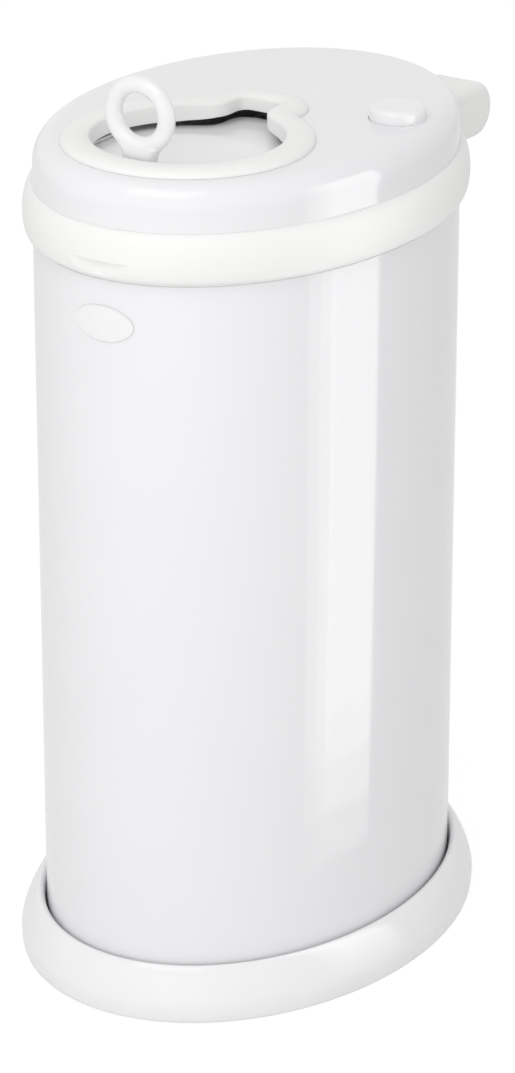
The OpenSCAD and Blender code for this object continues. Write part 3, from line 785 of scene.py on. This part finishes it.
def lock_button():
    dome, soft, wall, stem = 0.6, 4.0, 2.0, 5.5
    top = high("lock_button").z - dome
    arm_top = high("lock_arm").z
    lip = arm_top + 0.6
    outside = [(BUTTON_R - soft + soft * math.cos(math.pi / 20 * step),
                top - soft + soft * math.sin(math.pi / 20 * step)) for step in range(11)]
    crown = [((BUTTON_R - soft) * (1 - step / 8), top + dome * (1 - (1 - step / 8) ** 2))
             for step in range(1, 9)]
    inside = [(0, low("lock_button").z), (stem, low("lock_button").z), (stem, arm_top + 0.05),
              (stem + 2, arm_top + 0.05), (stem + 2, top - wall), (BUTTON_R - wall - 2, top - wall),
              (BUTTON_R - wall, top - wall - 2), (BUTTON_R - wall, lip), (BUTTON_R - 0.3, lip),
              (BUTTON_R, lip + 0.3)]
    bm = spun(inside + outside + crown)
    bmesh.ops.translate(bm, verts=bm.verts, vec=(BUTTON_X, BUTTON_Y, 0))
    return shown(bm, "button_skin", "lock", "gloss_plastic", ["lock_button"])


lock_button()

# %% [markdown]
# ## The hinge housing
# Behind the lid two soft-ended lobes hold the hinge pin. Each is one outline, a straight web that
# runs into a half circle, lofted outwards and drawn in at its end. The lobes are then cut to the
# band and the cap with a hairline of air, and bored for the pin and its plugs.


# %% Hinge housing
HINGE_Y = (high("hinge_pin").y + low("hinge_pin").y) / 2
HINGE_Z = (high("hinge_pin").z + low("hinge_pin").z) / 2
BARREL_R = high("lid_hinge_housing").y - HINGE_Y
BARREL_HALF = high("lid_hinge_housing").x
KNUCKLE = high("hinge_bracket").x + 0.5


def lobe_outline(inset):
    """The lobe's (y, z) outline, drawn in by an inset."""
    radius = BARREL_R - inset
    web = HALF_L - 32
    turns = [math.pi * step / 40 for step in range(41)]
    bend = [(HINGE_Y + radius * math.sin(turn), HINGE_Z - radius * math.cos(turn)) for turn in turns]
    return [(web, BAND_Z + 5 + inset)] + bend + [(web, HINGE_Z + radius)]


def lobe(side):
    soft = 6.0
    levels = [(KNUCKLE, 0.5), (KNUCKLE + 0.15, 0.15), (KNUCKLE + 0.5, 0)]
    levels += [(BARREL_HALF - soft + soft * math.sin(math.pi / 20 * step),
                soft * (1 - math.cos(math.pi / 20 * step))) for step in range(11)]
    return lofted(bmesh.new(), [[(side * across, y, z) for y, z in lobe_outline(inset)]
                                for across, inset in levels])


def lid_plug():
    """The outer shape of the band and the cap, a hairline larger, to cut the lobes with."""
    wall = [(out + 0.25, height) for out, height in BAND_CURVE]
    bm, top = carried(oval, wall + [(CAP_OUT + 0.3, BAND_TOP + 0.1), (CAP_OUT + 0.3, CAP_TOP)],
                      sectors=192, closed=False)
    bmesh.ops.edgeloop_fill(bm, edges=[edge for edge in bm.edges if edge.is_boundary])
    return hidden(bm, "lid_plug")


def bore():
    pin, plug = (high("hinge_pin").z - low("hinge_pin").z) / 2 + 0.05, 5.05
    seat = BARREL_HALF - 1.9
    far = BARREL_HALF + 5
    bm = spun([(0, -far), (plug, -far), (plug, -seat), (pin, -seat), (pin, seat), (plug, seat),
               (plug, far), (0, far)], 64)
    bmesh.ops.rotate(bm, verts=bm.verts, matrix=Matrix.Rotation(math.pi / 2, 3, "Y"))
    bmesh.ops.translate(bm, verts=bm.verts, vec=(0, HINGE_Y, HINGE_Z))
    return hidden(bm, "bore")


def hinge_housing():
    both = lobe(1)
    other = lobe(-1)
    spare = bpy.data.meshes.new("spare")
    other.to_mesh(spare)
    other.free()
    both.from_mesh(spare)
    bpy.data.meshes.remove(spare)
    piece = shown(both, "hinge_housing_skin", "lid", "matt_plastic", ["lid_hinge_housing"])
    return cut_away(piece, lid_plug(), bore())


hinge_housing()

# %% [markdown]
# ## The badge
# A small oval plate sits on the front of the body, with a fine raised border and nothing on it. An
# oval's edge is extruded inwards ring by ring, and every ring is laid on the body's curve.


# %% Badge
def badge():
    half_w = (high("blank_badge").x - low("blank_badge").x) / 2
    half_h = (high("blank_badge").z - low("blank_badge").z) / 2 + 1.8
    middle = (high("blank_badge").z + low("blank_badge").z) / 2 + 0.8
    border = [(0.0, 0.2), (0.15, 0.55), (0.4, 0.7), (0.7, 0.55), (0.9, 0.35), (1.2, 0.4),
              (2.2, 0.55)]
    levels = [(half_w - inward, half_h - inward, rise) for inward, rise in border]
    across, up, _ = levels[-1]
    levels += [(across * share / 8, up * share / 8, 0.66 - 0.0017 * share ** 2)
               for share in range(7, 0, -1)]
    bm = bmesh.new()
    ring = bmesh.ops.create_circle(bm, segments=120, radius=1.0)["verts"]
    turns = [math.atan2(vert.co.y, vert.co.x) for vert in ring]
    edges = list(bm.edges)
    for step, (across, up, rise) in enumerate(levels):
        if step:
            ring, edges = grown(bm, edges)
        for vert, turn in zip(ring, turns):
            spot = oval(-math.acos(across * math.cos(turn) / HALF_W), 0.2 + rise)
            vert.co = (spot.x, spot.y, middle + up * math.sin(turn))
    bmesh.ops.edgeloop_fill(bm, edges=edges)
    return shown(bm, "badge_skin", "pail", "badge", ["blank_badge"], sharp=70)


badge()

# %% [markdown]
# ## The pieces that keep their CAD shape
# Screws, pin, rails, runners, cover, seals, hinge and lock are right as they are. They get their
# finish from the record's own list of slots.

# %% Finishes for the CAD nodes
for part in frame["record"]["subparts"]:
    node = frame["nodes"][part["node"]]
    if node.hide_render:
        continue
    node.data.materials.clear()
    node.data.materials.append(FINISHES[part["material_slot"]])
print("CAD nodes shown:", sum(not node.hide_render for node in frame["nodes"].values()))

# %% [markdown]
# ## The studio
# White paint on a white ground only shows its form through soft light. The sky is plain, and two
# wide panels in front of the bin and above it fill the body. The floor is pale and keeps the bin's
# shadow. The camera sees most of it as plain white, and gloss sees about half of that.


# %% Floor and sky
def shine(nodes, kind, colour, strength):
    """A surface or a background of plain light."""
    return nodes.node(kind, {}, {"Color": (*colour, 1), "Strength": strength})


def seen(nodes, mirrored=1.0):
    """1 for what the camera sees, and a share of it for what gloss and glass show."""
    path = nodes.node("ShaderNodeLightPath")
    ray = {name: Wire(nodes, path.socket.node.outputs[name])
           for name in ("Is Camera Ray", "Is Glossy Ray", "Is Transmission Ray")}
    return ray["Is Camera Ray"] + mirrored * (ray["Is Glossy Ray"] + ray["Is Transmission Ray"])


FLOOR_SHARE, FLOOR_WHITE = 0.88, 1.05


def floor_finish():
    ground = Finish("Pale floor", Roughness=0.9)
    cloud = ground.noise(0.6, 1.0)
    ground.feed(Base_Color=ground.shades(cloud, (0.80, 0.80, 0.80), (0.82, 0.82, 0.82)))
    blend = ground.node("ShaderNodeMixShader", {}, {
        0: FLOOR_SHARE * seen(ground, 0.465),
        1: Wire(ground, ground.shader.outputs[0]),
        2: shine(ground, "ShaderNodeEmission", (1, 1, 1), FLOOR_WHITE)})
    ground.plug(ground.tree.nodes["Material Output"].inputs["Surface"], blend)
    return ground.material


def floor():
    bm = bmesh.new()
    bmesh.ops.create_circle(bm, segments=96, radius=9.0, cap_ends=True)
    mesh = bpy.data.meshes.new("floor")
    bm.to_mesh(mesh)
    bm.free()
    mesh.materials.append(floor_finish())
    ground = bpy.data.objects.new("floor", mesh)
    bpy.context.scene.collection.objects.link(ground)


SKY = 0.78


def sky():
    world = bpy.data.worlds.new("Plain sky")
    bpy.context.scene.world = world
    light = Nodes(world)
    blend = light.node("ShaderNodeMixShader", {}, {
        0: seen(light),
        1: shine(light, "ShaderNodeBackground", (1, 1, 1), SKY),
        2: shine(light, "ShaderNodeBackground", (1, 1, 1), 1.0)})
    light.plug(light.tree.nodes["World Output"].inputs["Surface"], blend)


floor()
sky()


# %% [markdown]
# ## The lamps
# One wide lamp in front, a little to the right, and one high over the front give the soft shading.
# The bright upright stripe is the mirror image of a tall, narrow lamp that stands close to the right
# side. Such a lamp would also flood the wall beside it, so it is hidden from diffuse rays, and only
# the gloss shows it. It is made of strips and steps that grow dimmer to the left and to the floor.


# %% Lamps
def panel(name, azimuth, distance, height, size, power, aim=(0, 0, 0.3)):
    """A rectangular lamp. Azimuth 0 is in front, and 90 is on the +X side."""
    lamp = bpy.data.lights.new(name, "AREA")
    lamp.shape, lamp.size, lamp.size_y = "RECTANGLE", *size
    lamp.energy = power
    holder = bpy.data.objects.new(name, lamp)
    bpy.context.scene.collection.objects.link(holder)
    angle = math.radians(azimuth)
    holder.location = (distance * math.sin(angle), -distance * math.cos(angle), height)
    holder.rotation_mode = "QUATERNION"
    holder.rotation_quaternion = (Vector(aim) - holder.location).to_track_quat("-Z", "Y")
    return holder


panel("front lamp", 20, 2.35, 0.8, (1.2, 1.4), 11.6).visible_glossy = False
panel("high lamp", 8, 1.38, 2.27, (1.6, 1.2), 9.2)
STRIPE = [(74.9, 0.024, 3.6), (80.2, 0.024, 6.6), (94, 0.098, 9.2)]
FADE = [(0.0, 0.04, 0.3), (0.04, 0.08, 0.6), (0.08, 0.12, 0.85), (0.12, 0.62, 1.0)]
for column, (lamp_azimuth, lamp_width, radiance) in enumerate(STRIPE):
    for row, (bottom, top, share) in enumerate(FADE):
        tall, middle = top - bottom, (top + bottom) / 2
        narrow = panel(f"stripe lamp {column}.{row}", lamp_azimuth, 0.25, middle, (lamp_width, tall),
                       radiance * share * lamp_width * tall, (0, 0, middle))
        narrow.visible_diffuse = False

# %% [markdown]
# ## The camera
# The camera stands to the right of the front and looks down by about 23 degrees. It is far away
# with a long lens, so the two ends of the tall body are nearly the same width.

# %% Camera
AZIMUTH, ELEVATION = math.radians(32.75), math.radians(23.02)
DISTANCE = 2.7655
AIM = Vector((0, 0, 0.25636))
SIDE_STEP, UP_STEP = 0.00512, 0.00925


def camera():
    back = Vector((math.sin(AZIMUTH) * math.cos(ELEVATION), -math.cos(AZIMUTH) * math.cos(ELEVATION),
                   math.sin(ELEVATION)))
    right = Vector((math.cos(AZIMUTH), math.sin(AZIMUTH), 0))
    up = back.cross(right)
    lens = bpy.data.cameras.new("camera")
    lens.sensor_fit, lens.sensor_height, lens.sensor_width = "VERTICAL", 36, 36
    lens.lens = 142.9
    eye = bpy.data.objects.new("camera", lens)
    bpy.context.scene.collection.objects.link(eye)
    eye.matrix_world = Matrix((right, up, back)).transposed().to_4x4()
    eye.location = AIM + back * DISTANCE + right * SIDE_STEP + up * UP_STEP
    bpy.context.scene.camera = eye


camera()
bpy.context.scene.view_settings.view_transform = "Standard"
